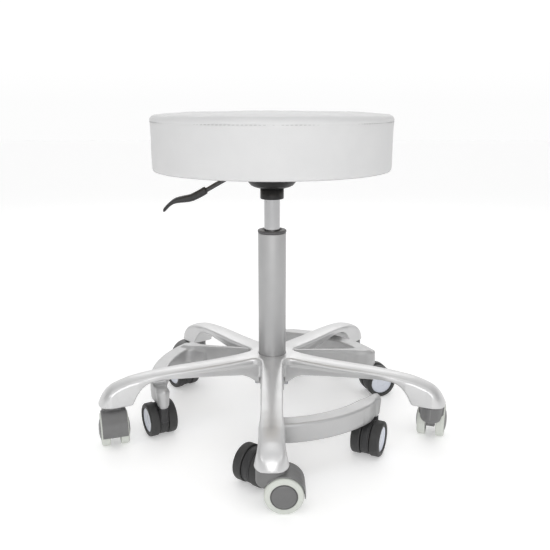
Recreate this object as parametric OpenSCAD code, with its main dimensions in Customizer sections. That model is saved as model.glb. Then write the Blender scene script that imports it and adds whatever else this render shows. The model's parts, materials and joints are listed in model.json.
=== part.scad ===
// Dental stool: a round padded seat on a gas lift, a five-armed star base on
// five grey twin-wheel casters, and a three-spoked foot frame on six black ones.
// Millimetres, +Z up. The origin is on the column's axis at floor level, and the
// front arm of the star points along -Y.

/* [Seat] */
// Diameter of the seat cushion
seat_d = 413; // [400:1:430]
// Height of the seat's underside above the floor
seat_bottom = 467.5; // [460:0.5:475]
// Height of the seat's top above the floor
seat_top = 563; // [560:0.5:575]
// Thickness of the seat's vinyl cover
cover_t = 1.2; // [0.8:0.1:1.6]
// Thickness of the plywood seat board
board_t = 12; // [9:1:15]

/* [Lift column] */
// Outer diameter of the column tube
column_d = 50; // [49.9:0.1:50]
// Height of the column tube's top above the floor
column_top = 354; // [345:1:358]
// Diameter of the gas cylinder
cylinder_d = 28; // [27.9:0.1:28]
// Diameter of the piston rod
rod_d = 10; // [8:1:10]

/* [Star base] */
// Distance from the column's axis to each star caster's stem
star_stem_r = 295; // [290:1:300]
// Half width of an arm's round tip
tip_r = 25.5; // [24:0.5:26]
// Height of the hub's top above the floor
hub_top = 127.7; // [126:0.1:129]
// Height of the face where the star sits on the foot frame's ring
joint_z = 90; // [89.5:0.5:90]
// Thickness of the star's cast walls
star_wall = 5; // [4:0.5:6]

/* [Foot frame] */
// Distance from the column's axis to each foot caster's stem
foot_stem_r = 211.5; // [210:0.5:213]
// Width of the curved foot rails
rail_w = 27; // [26:0.5:28]
// Height of the rails' top above the floor
rail_top = 95; // [93:0.5:97]
// Height of the rails' lower edge above the floor
rail_bottom = 63; // [63:0.5:64]
// Direction of the first spoke
first_spoke = 25.6; // [24:0.1:27]

/* [Casters] */
// Radius of the star casters' wheels
star_wheel_r = 29.5; // [29:0.5:29.5]
// Distance from stem to axle on the star casters
star_trail = 18; // [17:0.5:19]
// Radius of the foot casters' wheels
foot_wheel_r = 30; // [29:0.5:30]
// Distance from stem to axle on the foot casters
foot_trail = 24; // [23:0.5:25]
// Diameter of the caster stems
stem_d = 11; // [10:0.5:11]

/* [Hidden] */
$fn = 96;
run = 0.05;                       // radial clearance of shafts that turn or slide
seat_r = seat_d / 2;
board_bottom = seat_bottom + cover_t;
board_top = board_bottom + board_t;
hem_r = 168;                      // the cover's hem, turned in under the board
column_r = column_d / 2;
column_bore = 23.4;
cylinder_r = cylinder_d / 2;
cylinder_end = 446;               // top of the gas cylinder
cylinder_start = 205;
rod_r = rod_d / 2;
tube_shoulder = 74.5;             // below this the column tube is turned down
spigot_r = 22.5;
floor_plate = [53, 56];           // closed lower end of the column tube
rod_hole_r = rod_r + 0.5;
bush_low = 279;
plate_t = 3;
plate_z = board_bottom - plate_t; // underside of the steel seat plate
socket_r = 17.5;
socket_z = [416, 452];
dish_bottom = 433;
dish_slot = 12;                   // width of the slots that the lever moves in
lever_z = 457;                    // height of the lever's pivot
lever_pivot = -30;
lever_end = 3;                    // inner end of the lever, over the button
button_r = 4;
button_top = 452.8;
lever_r = 4;
lever_bend = -65.8;
lever_fall = 29.5;                // slope of the lever below level
pin_r = 2.5;
stem_r = stem_d / 2;
tip_bottom = 67.5;                // underside of the arms' tips
star_arms = [-90, -18, 54, 126, 198];
spokes = [first_spoke, first_spoke + 120, first_spoke + 241.4];
noses = [for (i = [0:2]) first_spoke + 60 + 120 * i];
foot_stems = [for (i = [0:2]) each [spokes[i], noses[i]]];
rail_starts = [3.5, 3.5, 2.3];    // how far each rail starts before its spoke
rail_in = foot_stem_r - rail_w / 2;
rail_out = foot_stem_r + rail_w / 2;
ring_r = 36;                      // hub radius of both castings
ring_bottom = 74.5;
hub_edge = hub_top - 2.2;         // where the hub's top starts to bevel in
screw_r = 30.5;                   // pitch radius of the frame's screws
screw_d = 5;
stem_depth = 20;                  // depth of the stems' bores in the castings
star_axle_z = star_wheel_r;
foot_axle_z = foot_wheel_r;
axle_r = 4;
star_swivels = [for (a = star_arms) a + 90];
foot_swivels = [17, 5, 128, 120, 234, 245];

star_names = ["front", "right", "back_right", "back_left", "left"];
foot_names = ["1", "2", "3", "4", "5", "6"];
function star_node(i, piece) = str("star_caster_", star_names[i], "_", piece);
function foot_node(i, piece) = str("foot_caster_", foot_names[i], "_", piece);

// Points of an elliptical arc about [x, z], from angle t0 to t1
function arc(x, z, a, b, t0, t1, n) =
    [for (i = [0:n]) let (t = t0 + (t1 - t0) * i / n) [x + a * cos(t), z + b * sin(t)]];

// A tube about the Z axis between two heights
module tube(outer, inner, z0, z1) {
    translate([0, 0, z0]) difference() {
        cylinder(r = outer, h = z1 - z0);
        translate([0, 0, -1]) cylinder(r = inner, h = z1 - z0 + 2);
    }
}

// A plate outline with round corners
module rounded_square(w, r) {
    square([w - 2 * r, w], center = true);
    square([w, w - 2 * r], center = true);
    for (x = [-1, 1], y = [-1, 1])
        translate([x * (w / 2 - r), y * (w / 2 - r)]) circle(r = r);
}

// Half section of the cushion, moved in by inset from its outer skin
module seat_section(inset) {
    edge = 4;
    round_x = 14;
    round_z = 10;
    // How far the crowned top has fallen at each radius
    fall = [[seat_r - round_x, 4.2], [165, 2], [120, 0.7], [60, 0]];
    polygon(concat(
        [[0, seat_bottom + inset]],
        arc(seat_r - edge, seat_bottom + edge, edge - inset, edge - inset, -90, 0, 4),
        arc(seat_r - round_x, seat_top - fall[0].y - round_z, round_x - inset, round_z - inset,
            0, 90, 7),
        [for (i = [1:3]) [fall[i].x, seat_top - fall[i].y - inset]],
        [[0, seat_top - inset]]
    ));
}

module seat_cover() {
    color("white") rotate_extrude() difference() {
        seat_section(0);
        seat_section(cover_t);
        translate([-1, seat_bottom - 1]) square([hem_r + 1, cover_t + 2]);
    }
}

module seat_foam() {
    color("khaki") rotate_extrude() intersection() {
        seat_section(cover_t);
        translate([0, board_top]) square([seat_r, seat_top]);
    }
}

module seat_board() {
    color("burlywood") difference() {
        rotate_extrude() intersection() {
            seat_section(cover_t);
            square([seat_r, board_top]);
        }
        plate_holes(board_bottom - 1, screw_bite + 1);
    }
}

// Four screw holes on the seat plate's bolt square
plate_bolt = 56;
plate_screw_r = 3;
screw_bite = 9;
module plate_holes(z, h) {
    for (x = [-1, 1], y = [-1, 1])
        translate([x * plate_bolt, y * plate_bolt, z]) cylinder(r = plate_screw_r, h = h);
}

module seat_plate_screws() {
    head_h = 3.2;
    head_r = 5.5;
    hex_r = 2.9;
    color("dimgray") for (x = [-1, 1], y = [-1, 1])
        translate([x * plate_bolt, y * plate_bolt, plate_z - head_h]) {
            difference() {
                cylinder(r = head_r, h = head_h);
                translate([0, 0, -1]) cylinder(r = hex_r, h = head_h, $fn = 6);
            }
            cylinder(r = plate_screw_r, h = head_h + plate_t + screw_bite);
        }
}

// Steel plate under the board, with the cylinder's socket and the lever's bracket
module seat_plate() {
    ear_x = [-38, 16];
    ear_y = [9, 12];
    ear_low = 449;
    well_r = 8.8;
    color("dimgray") difference() {
        union() {
            translate([0, 0, plate_z]) linear_extrude(plate_t) rounded_square(140, 12);
            translate([0, 0, socket_z[0]]) cylinder(r = socket_r, h = socket_z[1] - socket_z[0]);
            for (y = [ear_y[0], -ear_y[1]])
                translate([ear_x[0], y, ear_low])
                    cube([ear_x[1] - ear_x[0], ear_y[1] - ear_y[0], plate_z - ear_low + 1]);
        }
        translate([0, 0, socket_z[0] - 1])
            cylinder(r = cylinder_r, h = cylinder_end - socket_z[0] + 1);
        translate([0, 0, cylinder_end - 1]) cylinder(r = well_r, h = 12);
        translate([-24, -dish_slot / 2, ear_low - 1]) cube([24, dish_slot, 12]);
        plate_holes(plate_z - 1, plate_t + 2);
        lever_pin_bore(pin_r, 30);
    }
}

// Space along the lever's pivot, centred between the bracket's ears
module lever_pin_bore(r, length) {
    translate([lever_pivot, length / 2, lever_z]) rotate([90, 0, 0]) cylinder(r = r, h = length);
}

module seat_dish() {
    outside = [[socket_r, dish_bottom], [26, 434], [32, 435.8], [37, 438.3], [41.3, 443.4],
               [43.5, 447], [46, 455], [47, plate_z]];
    inside = [[45, plate_z], [44, 455.5], [41.6, 448.3], [39.5, 445], [35.6, 440.1],
              [31.3, 437.7], [25.8, 436], [socket_r, dish_bottom + 2]];
    color("black") difference() {
        rotate_extrude() polygon(concat(outside, inside));
        translate([-60, -dish_slot / 2, 448]) cube([30, dish_slot, 30]);
    }
}

module socket_collar() {
    outer = 20.7;
    low = 414.5;
    edge = 2.5;
    color("black") rotate_extrude() polygon(concat(
        [[socket_r, low]],
        arc(outer - edge, low + edge, edge, edge, -90, 0, 5),
        [[outer, dish_bottom], [socket_r, dish_bottom]]
    ));
}

module gas_cylinder() {
    chamber_r = 12;
    chamber = [220, 424];
    color("silver") difference() {
        translate([0, 0, cylinder_start])
            cylinder(r = cylinder_r, h = cylinder_end - cylinder_start);
        translate([0, 0, chamber[0]]) cylinder(r = chamber_r, h = chamber[1] - chamber[0]);
        translate([0, 0, cylinder_start - 1]) cylinder(r = rod_r + run, h = 20);
        translate([0, 0, chamber[1] - 4]) cylinder(r = button_r + run, h = 40);
    }
}

module release_button() {
    length = 22.8;
    color("gray") translate([0, 0, button_top - length]) cylinder(r = button_r, h = length);
}

module lever_pin() {
    color("silver") lever_pin_bore(pin_r, 28);
}

// The lever's bent rod: level through the bracket, then falling outwards
module lever_rod() {
    color("black") difference() {
        union() {
            translate([lever_bend, 0, lever_z]) rotate([0, 90, 0])
                cylinder(r = lever_r, h = lever_end - lever_bend);
            translate([lever_bend, 0, lever_z]) sphere(r = lever_r + 0.25);
            lever_outer_run();
        }
        lever_pin_bore(pin_r + run, 30);
    }
}

module lever_outer_run() {
    translate([lever_bend, 0, lever_z]) rotate([0, -90 - lever_fall, 0])
        cylinder(r = lever_r, h = 82);
}

// Side outline of the grip, as [x, z] points of its top and then its underside
grip_side = [[-111, 437], [-120.5, 432.5], [-129.5, 428], [-143.5, 420.6], [-156, 418.5],
             [-165, 415], [-176, 410], [-183, 404], [-188.5, 397], [-192.5, 391.5],
             [-190.5, 388.5], [-185.5, 393.5], [-178, 401.5], [-172, 406], [-162, 408.3],
             [-148, 409], [-135.5, 412], [-126.5, 416.5], [-113, 424]];
// Plan outline of the grip, as [x, y] points of one side
grip_plan = [[-105, 6.5], [-122, 7], [-150, 10], [-175, 11], [-188, 9.5], [-194, 5]];
module lever_grip() {
    color("black") difference() {
        intersection() {
            translate([0, 15, 0]) rotate([90, 0, 0]) linear_extrude(30) polygon(grip_side);
            translate([0, 0, 380]) linear_extrude(70)
                polygon(concat(grip_plan, [for (i = [5:-1:0]) [grip_plan[i].x, -grip_plan[i].y]]));
        }
        lever_outer_run();
    }
}

// Top of the thrust bearing, which the rod's shoulder rests on
bearing_top = 62.8;

module piston_rod() {
    rod_low = 48;
    piston = [300, 312];
    color("silver") {
        translate([0, 0, rod_low]) cylinder(r = rod_r, h = piston[0] + 4 - rod_low);
        translate([0, 0, bearing_top + 0.2]) cylinder(r = 11, h = 4);
        translate([0, 0, piston[0]]) cylinder(r = 11.9, h = piston[1] - piston[0]);
    }
}

module rod_clip() {
    color("gray") tube(9, rod_r, floor_plate[0] - 3.5, floor_plate[0] - 0.5);
}

module column_tube() {
    color("lightgray") difference() {
        union() {
            translate([0, 0, tube_shoulder]) cylinder(r = column_r, h = column_top - tube_shoulder);
            translate([0, 0, floor_plate[0]]) cylinder(r = spigot_r, h = 30);
        }
        translate([0, 0, tube_shoulder + 5.5]) cylinder(r = column_bore, h = column_top);
        translate([0, 0, floor_plate[1]]) cylinder(r = spigot_r - 2, h = 60);
        translate([0, 0, floor_plate[0] - 1]) cylinder(r = rod_hole_r, h = 20);
    }
}

module column_bush() {
    rim_h = 5.5;
    color("dimgray") {
        tube(column_bore, cylinder_r + run, bush_low, column_top + 1);
        tube(column_r + 0.5, cylinder_r + run, column_top, column_top + rim_h);
    }
}

module thrust_bearing() {
    color("gray") tube(14, rod_hole_r, floor_plate[1], bearing_top);
}

// Side outline of one star arm, as [r, z] points of its top and then its underside
arm_top = [[0, hub_edge - 0.5], [42, hub_edge - 0.5], [60, 123], [125, 119.5], [180, 117.5],
           [217, 114.5], [240, 111], [258, 107.5], [275, 103], [290, 96.5], [302, 88.5],
           [311, 80.5], [317, 74], [323, 70.5]];
arm_under = [[323, tip_bottom], [261, tip_bottom], [257.5, 75], [253, 84], [244, 95],
             [235, 101], [225, 104.5], [204, 106], [178, 104.5], [142, 102], [100, 99], [62, 95.5], [50, 90],
             [44, 85.5], [37.5, 80], [37.5, joint_z + 2], [0, joint_z + 2]];
// Half widths of an arm, as [r, half width]
arm_half = [[0, 18.4], [150, 18.2], [200, 17.2], [235, 18.4], [262, 21.5], [280, 23.8],
            [star_stem_r + 2, tip_r - 0.3]];

// Plan outline of one arm, grown by g on every side
module arm_plan(g) {
    n = len(arm_half) - 1;
    polygon(concat(
        [for (p = arm_half) [p.x, p.y + g]],
        [for (i = [n:-1:0]) [arm_half[i].x, -arm_half[i].y - g]]
    ));
    translate([star_stem_r, 0]) circle(r = tip_r + g);
}

module arm_body(g) {
    intersection() {
        translate([0, 40, 0]) rotate([90, 0, 0]) linear_extrude(80)
            polygon(concat(arm_top, arm_under));
        linear_extrude(hub_top + 10) arm_plan(g);
    }
}

// Hollow of the channel under one arm, with the caster stem's boss left in it
module arm_hollow() {
    top = [for (i = [3:len(arm_top) - 3]) [arm_top[i].x, arm_top[i].y - star_wall - 1]];
    difference() {
        intersection() {
            translate([0, 40, 0]) rotate([90, 0, 0]) linear_extrude(80)
                polygon(concat([[60, 0]], top, [[311, 0]]));
            linear_extrude(hub_top) arm_plan(-star_wall);
        }
        translate([star_stem_r, 0, 0]) cylinder(r = stem_r + star_wall + 0.5, h = hub_top);
    }
}

// Disc that fills the corners between the arms, round the hub
corner_r = 46;
corner_low = 104;

module star_base() {
    color("gainsboro") difference() {
        union() {
            for (a = star_arms) rotate([0, 0, a]) difference() {
                arm_body(0);
                arm_hollow();
            }
            translate([0, 0, joint_z]) cylinder(r = ring_r, h = hub_edge - joint_z);
            translate([0, 0, hub_edge])
                cylinder(r1 = ring_r, r2 = ring_r - 4, h = hub_top - hub_edge);
            translate([0, 0, corner_low]) cylinder(r = corner_r, h = hub_edge - corner_low - 1);
        }
        translate([0, 0, joint_z - 20]) cylinder(r = column_r, h = 80);
        for (a = star_arms) rotate([0, 0, a]) translate([star_stem_r, 0, tip_bottom - 1])
            cylinder(r = stem_r, h = stem_depth + 1);
        frame_screw_holes(screw_d / 2, joint_z - 1, 13);
    }
}

// Space that the star takes up near the hub, with a little room round it
module star_room() {
    room = 0.6;
    for (a = star_arms) rotate([0, 0, a]) arm_body(room);
    translate([0, 0, corner_low - room]) cylinder(r = corner_r + room, h = 30);
    translate([0, 0, joint_z - room]) cylinder(r = ring_r + room, h = 30);
}

module frame_screw_holes(r, z, h) {
    for (a = noses) rotate([0, 0, a]) translate([screw_r, 0, z]) cylinder(r = r, h = h);
}

// Side outlines of the spokes, as [r, z]: two stand up between the star's arms,
// and the third runs low under the front arm
spoke_high = [[28, 76.5], [60, 73], [120, 67.5], [190, 65], [foot_stem_r, 65],
              [foot_stem_r, 93.5], [200, 98], [152, 106.6], [108, 114.1], [60, 122.3],
              [47, 122.3], [40, 104], [28, 88]];
spoke_low = [[28, 76.5], [60, 73], [120, 67.5], [190, 65], [foot_stem_r, 65],
             [foot_stem_r, 93], [150, 92], [100, 89], [60, 83], [46, 79], [28, 79]];
spoke_half = [[28, 5], [60, 5], [150, 6.2], [182, 8], [rail_in + 2, 13]];

module spoke(side) {
    n = len(spoke_half) - 1;
    intersection() {
        translate([0, 20, 0]) rotate([90, 0, 0]) linear_extrude(40) polygon(side);
        linear_extrude(hub_top) polygon(concat(
            spoke_half,
            [[foot_stem_r, 13], [foot_stem_r, -13]],
            [for (i = [n:-1:0]) [spoke_half[i].x, -spoke_half[i].y]]
        ));
    }
}

// One curved rail, from its spoke to the round nose over the next caster
module rail(i) {
    wall = 4;
    hollow_starts = 6;
    past_nose = 0.4;
    start = spokes[i] - rail_starts[i];
    union() {
        difference() {
            rotate([0, 0, start]) rotate_extrude(angle = noses[i] + past_nose - start)
                translate([rail_in, rail_bottom]) square([rail_w, rail_top - rail_bottom]);
            rotate([0, 0, spokes[i] + hollow_starts])
                rotate_extrude(angle = noses[i] - spokes[i] - 2 * hollow_starts)
                    translate([rail_in + wall, rail_bottom - 1])
                        square([rail_w - 2 * wall, rail_top - rail_bottom - wall]);
        }
        rotate([0, 0, noses[i]]) translate([foot_stem_r, 0, rail_bottom + 0.5])
            cylinder(r = rail_w / 2 - 0.4, h = rail_top - rail_bottom - 1);
    }
}

module foot_frame() {
    color("silver") difference() {
        union() {
            translate([0, 0, ring_bottom]) cylinder(r = ring_r, h = joint_z - ring_bottom);
            for (i = [0:2]) rail(i);
            difference() {
                for (i = [0:2]) rotate([0, 0, spokes[i]]) spoke(i < 2 ? spoke_high : spoke_low);
                star_room();
            }
        }
        translate([0, 0, 60]) cylinder(r = column_r + 0.2, h = 80);
        for (a = foot_stems) rotate([0, 0, a]) translate([foot_stem_r, 0, rail_bottom - 1])
            cylinder(r = stem_r, h = stem_depth + 1);
        frame_screw_holes(screw_d / 2 + 0.3, 60, 40);
    }
}

module foot_frame_screws() {
    head_h = 3;
    head_low = ring_bottom - head_h;
    hex_r = 2.4;
    color("dimgray") {
        frame_screw_holes(screw_d / 2, ring_bottom, 26);
        difference() {
            frame_screw_holes(4.6, head_low, head_h);
            for (a = noses) rotate([0, 0, a]) translate([screw_r, 0, head_low - 1])
                cylinder(r = hex_r, h = head_h, $fn = 6);
        }
    }
}

// Lowest point of the stems, inside the housings
stem_low = 40;

// Caster stems: a shank up into the casting, a collar under it and a pivot below
module stem(low, face) {
    collar_r = 8;
    collar_h = 3.5;
    translate([0, 0, low]) cylinder(r = stem_r, h = face + stem_depth - 0.5 - low);
    translate([0, 0, face - collar_h]) cylinder(r = collar_r, h = collar_h);
}

module star_caster_stems() {
    color("silver") for (a = star_arms) rotate([0, 0, a]) translate([star_stem_r, 0, 0])
        stem(stem_low, tip_bottom);
}

module foot_caster_stems() {
    color("silver") for (a = foot_stems) rotate([0, 0, a]) translate([foot_stem_r, 0, 0])
        stem(stem_low, rail_bottom);
}

// Places children at a caster's stem, with +X towards the axle's side
module at_star_caster(i) {
    rotate([0, 0, star_arms[i]]) translate([star_stem_r, 0, 0])
        rotate([0, 0, star_swivels[i] - star_arms[i]]) children();
}

module at_foot_caster(i) {
    rotate([0, 0, foot_stems[i]]) translate([foot_stem_r, 0, 0])
        rotate([0, 0, foot_swivels[i] - foot_stems[i]]) children();
}

// A cylinder along Y between two offsets
module disc(r, y0, y1) {
    translate([0, y1, 0]) rotate([90, 0, 0]) cylinder(r = r, h = y1 - y0);
}

// Turned profile about Y, given as [radius, offset] points, and its mirror image
module both_sides(points) {
    for (s = [0, 1]) mirror([0, s, 0]) rotate([-90, 0, 0]) rotate_extrude() polygon(points);
}

star_web = 7.5;
star_hood_half = 21.5;
star_hood_r = star_wheel_r + 2.4;
hood_gap = 0.8;
hood_below = 8;                   // how far the hood reaches below the axle
neck_r = 8.3;                     // sleeve that turns on the stem
neck_low = 34;
module star_housing() {
    color("gray") difference() {
        union() {
            translate([star_trail, 0, star_axle_z]) intersection() {
                difference() {
                    disc(star_hood_r, -star_hood_half, star_hood_half);
                    disc(star_wheel_r + hood_gap, -star_hood_half - 1, -star_web);
                    disc(star_wheel_r + hood_gap, star_web, star_hood_half + 1);
                }
                translate([-40, -30, -hood_below]) cube([80, 60, 60]);
                union() {
                    translate([-16, -30, 0]) cube([60, 60, 60]);
                    translate([-40, -star_web, -30]) cube([80, 2 * star_web, 80]);
                }
            }
            translate([0, 0, neck_low]) cylinder(r = neck_r, h = tip_bottom - 4 - neck_low);
        }
        translate([0, 0, stem_low - 1]) cylinder(r = stem_r + run, h = 40);
        translate([star_trail, 0, star_axle_z]) disc(axle_r + run, -30, 30);
    }
}

star_wheel_in = 9;
star_wheel_out = 23.5;
star_hub_r = 20;
cap_rise = 2.5;
axle_half = 22;                   // half length of the star casters' axles
module star_wheels() {
    color("dimgray") translate([star_trail, 0, star_axle_z])
        both_sides(concat(
            [[axle_r, star_wheel_in], [star_hub_r, star_wheel_in]],
            [[star_hub_r, star_wheel_out + 1]],
            arc(0, star_wheel_out + 1, star_hub_r, cap_rise, 15, 90, 5),
            [[0, axle_half], [axle_r, axle_half]]
        ));
}

module star_tyres() {
    round_r = 3.5;
    color("lightgray") translate([star_trail, 0, star_axle_z])
        both_sides(concat(
            [[star_hub_r, star_wheel_in], [star_wheel_r - 1, star_wheel_in],
             [star_wheel_r, star_wheel_in + 1]],
            arc(star_wheel_r - round_r, star_wheel_out - round_r, round_r, round_r, 0, 90, 5),
            [[star_hub_r, star_wheel_out]]
        ));
}

module star_axle() {
    color("silver") translate([star_trail, 0, star_axle_z]) disc(axle_r, -axle_half, axle_half);
}

foot_web = 7.5;
module foot_housing() {
    color("black") difference() {
        union() {
            translate([foot_trail, 0, foot_axle_z]) disc(foot_wheel_r - 1.5, -foot_web, foot_web);
            translate([0, 0, neck_low]) cylinder(r = neck_r, h = rail_bottom - 4 - neck_low);
        }
        translate([0, 0, stem_low - 1]) cylinder(r = stem_r + run, h = 40);
        translate([foot_trail, 0, foot_axle_z]) disc(axle_r + run, -30, 30);
    }
}

foot_wheel_in = 8.5;
foot_wheel_out = 24.5;
foot_face_r = 21.5;
foot_web_out = 17.5;              // outer side of the wheel's web
hub_t = 3;
module foot_wheels() {
    round_r = 5;
    color([0.2, 0.2, 0.2]) translate([foot_trail, 0, foot_axle_z])
        both_sides(concat(
            [[axle_r, foot_wheel_in], [foot_wheel_r - 1, foot_wheel_in],
             [foot_wheel_r, foot_wheel_in + 1]],
            arc(foot_wheel_r - round_r, foot_wheel_out - round_r, round_r, round_r, 0, 90, 5),
            [[foot_face_r, foot_wheel_out], [foot_face_r, foot_web_out], [axle_r, foot_web_out]]
        ));
}

module foot_hubs() {
    color("aliceblue") translate([foot_trail, 0, foot_axle_z]) {
        disc(axle_r, -foot_web_out - 1, foot_web_out + 1);
        disc(foot_face_r, foot_web_out, foot_web_out + hub_t);
        disc(foot_face_r, -foot_web_out - hub_t, -foot_web_out);
    }
}

seat_cover();
seat_foam();
seat_board();
seat_plate();
seat_plate_screws();
seat_dish();
socket_collar();
gas_cylinder();
lever_pin();
lever_rod();
lever_grip();
release_button();
piston_rod();
rod_clip();
column_tube();
column_bush();
thrust_bearing();
star_base();
foot_frame();
foot_frame_screws();
star_caster_stems();
foot_caster_stems();
for (i = [0:4]) {
    at_star_caster(i) star_housing();
    at_star_caster(i) star_axle();
    at_star_caster(i) star_wheels();
    at_star_caster(i) star_tyres();
}
for (i = [0:5]) {
    at_foot_caster(i) foot_housing();
    at_foot_caster(i) foot_wheels();
    at_foot_caster(i) foot_hubs();
}
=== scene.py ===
"""Dental stool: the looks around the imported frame.

Shapes are worked out in millimetres, in the frame's axes, and made in metres. The castings
and caster housings are meshed from distance functions, so their fillets run into each other
as in a real casting. Everything else is turned, swept or lofted.
"""
import json
import math

import bpy
import numpy as np
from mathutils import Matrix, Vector
from mathutils.bvhtree import BVHTree


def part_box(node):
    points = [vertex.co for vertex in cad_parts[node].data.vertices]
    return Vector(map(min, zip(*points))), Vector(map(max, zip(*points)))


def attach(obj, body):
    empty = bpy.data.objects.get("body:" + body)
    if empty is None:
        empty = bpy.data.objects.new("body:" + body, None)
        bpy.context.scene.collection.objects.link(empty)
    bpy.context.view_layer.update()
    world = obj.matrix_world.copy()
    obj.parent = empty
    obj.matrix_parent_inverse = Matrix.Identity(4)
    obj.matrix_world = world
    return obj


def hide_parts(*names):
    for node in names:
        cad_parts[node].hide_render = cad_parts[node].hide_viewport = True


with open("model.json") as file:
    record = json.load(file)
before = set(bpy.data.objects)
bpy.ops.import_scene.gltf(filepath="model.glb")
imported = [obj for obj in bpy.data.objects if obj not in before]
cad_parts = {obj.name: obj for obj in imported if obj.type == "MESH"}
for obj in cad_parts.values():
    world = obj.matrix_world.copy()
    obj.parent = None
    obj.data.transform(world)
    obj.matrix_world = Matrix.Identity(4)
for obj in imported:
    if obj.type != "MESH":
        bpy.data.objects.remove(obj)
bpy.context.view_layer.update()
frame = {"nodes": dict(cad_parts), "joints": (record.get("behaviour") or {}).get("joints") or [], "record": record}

MM = 0.001


def node_box(node):
    """Lowest and highest corner of a CAD node, in millimetres."""
    low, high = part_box(node)
    return np.array(low) / MM, np.array(high) / MM


# ---------------------------------------------------------------- camera
camera = bpy.data.objects.new("camera", bpy.data.cameras.new("camera"))
bpy.context.scene.collection.objects.link(camera)
camera.location = (0.00444, -1.14473, 0.57966)
camera.rotation_euler = (math.radians(90 - 14.8713), 0, math.radians(-0.037))
camera.data.lens = 42.854
camera.data.sensor_width = 36
bpy.context.scene.camera = camera
bpy.context.scene.view_settings.view_transform = "Standard"


# ---------------------------------------------------------------- materials
def node_of(tree, kind, **inputs):
    """A shader node with the given input values; names use _ for spaces."""
    made = tree.nodes.new(kind)
    for name, value in inputs.items():
        made.inputs[name.replace("_", " ")].default_value = value
    return made


def rgba(colour):
    """A colour with full alpha."""
    return (*colour, 1.0)


def noise(tree, where, scale, detail=3.0, stretch=None):
    """Fac output of a noise texture, optionally stretched along the axes."""
    if stretch:
        mapping = node_of(tree, "ShaderNodeMapping", Scale=stretch)
        tree.links.new(where, mapping.inputs["Vector"])
        where = mapping.outputs["Vector"]
    texture = node_of(tree, "ShaderNodeTexNoise", Scale=scale, Detail=detail)
    tree.links.new(where, texture.inputs["Vector"])
    return texture.outputs["Fac"]


def map_range(tree, value, low, high):
    """value from 0.3..0.7, where noise mostly lies, to low..high."""
    mapped = node_of(tree, "ShaderNodeMapRange", From_Min=0.3, From_Max=0.7, To_Min=low, To_Max=high)
    tree.links.new(value, mapped.inputs["Value"])
    return mapped.outputs["Result"]


def finish(name, colour, other, rough, grain, mottle=25.0, metallic=0.0, stretch=None,
           cells=None, wear=None, **sockets):
    """A material: colour drifts to other over mottle, roughness drifts between two values,
    and grain is (scale, depth in mm) of its bump. cells adds a leather-like cell pattern and
    wear = (colour, strength) lightens sharp edges."""
    material = bpy.data.materials.new(name)
    material.use_nodes = True
    tree = material.node_tree
    shader = tree.nodes["Principled BSDF"]
    shader.inputs["Metallic"].default_value = metallic
    for socket, value in sockets.items():
        shader.inputs[socket.replace("_", " ")].default_value = value
    where = tree.nodes.new("ShaderNodeTexCoord").outputs["Object"]

    tint = node_of(tree, "ShaderNodeMix")
    tint.data_type = "RGBA"
    tint.inputs["A"].default_value = rgba(colour)
    tint.inputs["B"].default_value = rgba(other)
    tree.links.new(map_range(tree, noise(tree, where, mottle, 4.0), 0.0, 1.0), tint.inputs["Factor"])
    shown = tint.outputs["Result"]
    if wear:
        edge = node_of(tree, "ShaderNodeMapRange", From_Min=0.52, From_Max=0.62, To_Max=wear[1])
        geometry = tree.nodes.new("ShaderNodeNewGeometry")
        tree.links.new(geometry.outputs["Pointiness"], edge.inputs["Value"])
        worn = node_of(tree, "ShaderNodeMix")
        worn.data_type = "RGBA"
        tree.links.new(edge.outputs["Result"], worn.inputs["Factor"])
        tree.links.new(shown, worn.inputs["A"])
        worn.inputs["B"].default_value = rgba(wear[0])
        shown = worn.outputs["Result"]
    tree.links.new(shown, shader.inputs["Base Color"])

    patchy = noise(tree, where, mottle * 3, 3.0, stretch)
    tree.links.new(map_range(tree, patchy, *rough), shader.inputs["Roughness"])

    bump = node_of(tree, "ShaderNodeBump", Distance=grain[1] * MM)
    height = noise(tree, where, grain[0], 2.0, stretch)
    if cells:
        voronoi = node_of(tree, "ShaderNodeTexVoronoi", Scale=cells)
        voronoi.feature = "SMOOTH_F1"
        tree.links.new(where, voronoi.inputs["Vector"])
        joined = tree.nodes.new("ShaderNodeMath")
        joined.operation = "ADD"
        tree.links.new(voronoi.outputs["Distance"], joined.inputs[0])
        tree.links.new(height, joined.inputs[1])
        height = joined.outputs["Value"]
    tree.links.new(height, bump.inputs["Height"])
    tree.links.new(bump.outputs["Normal"], shader.inputs["Normal"])
    return material


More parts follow.
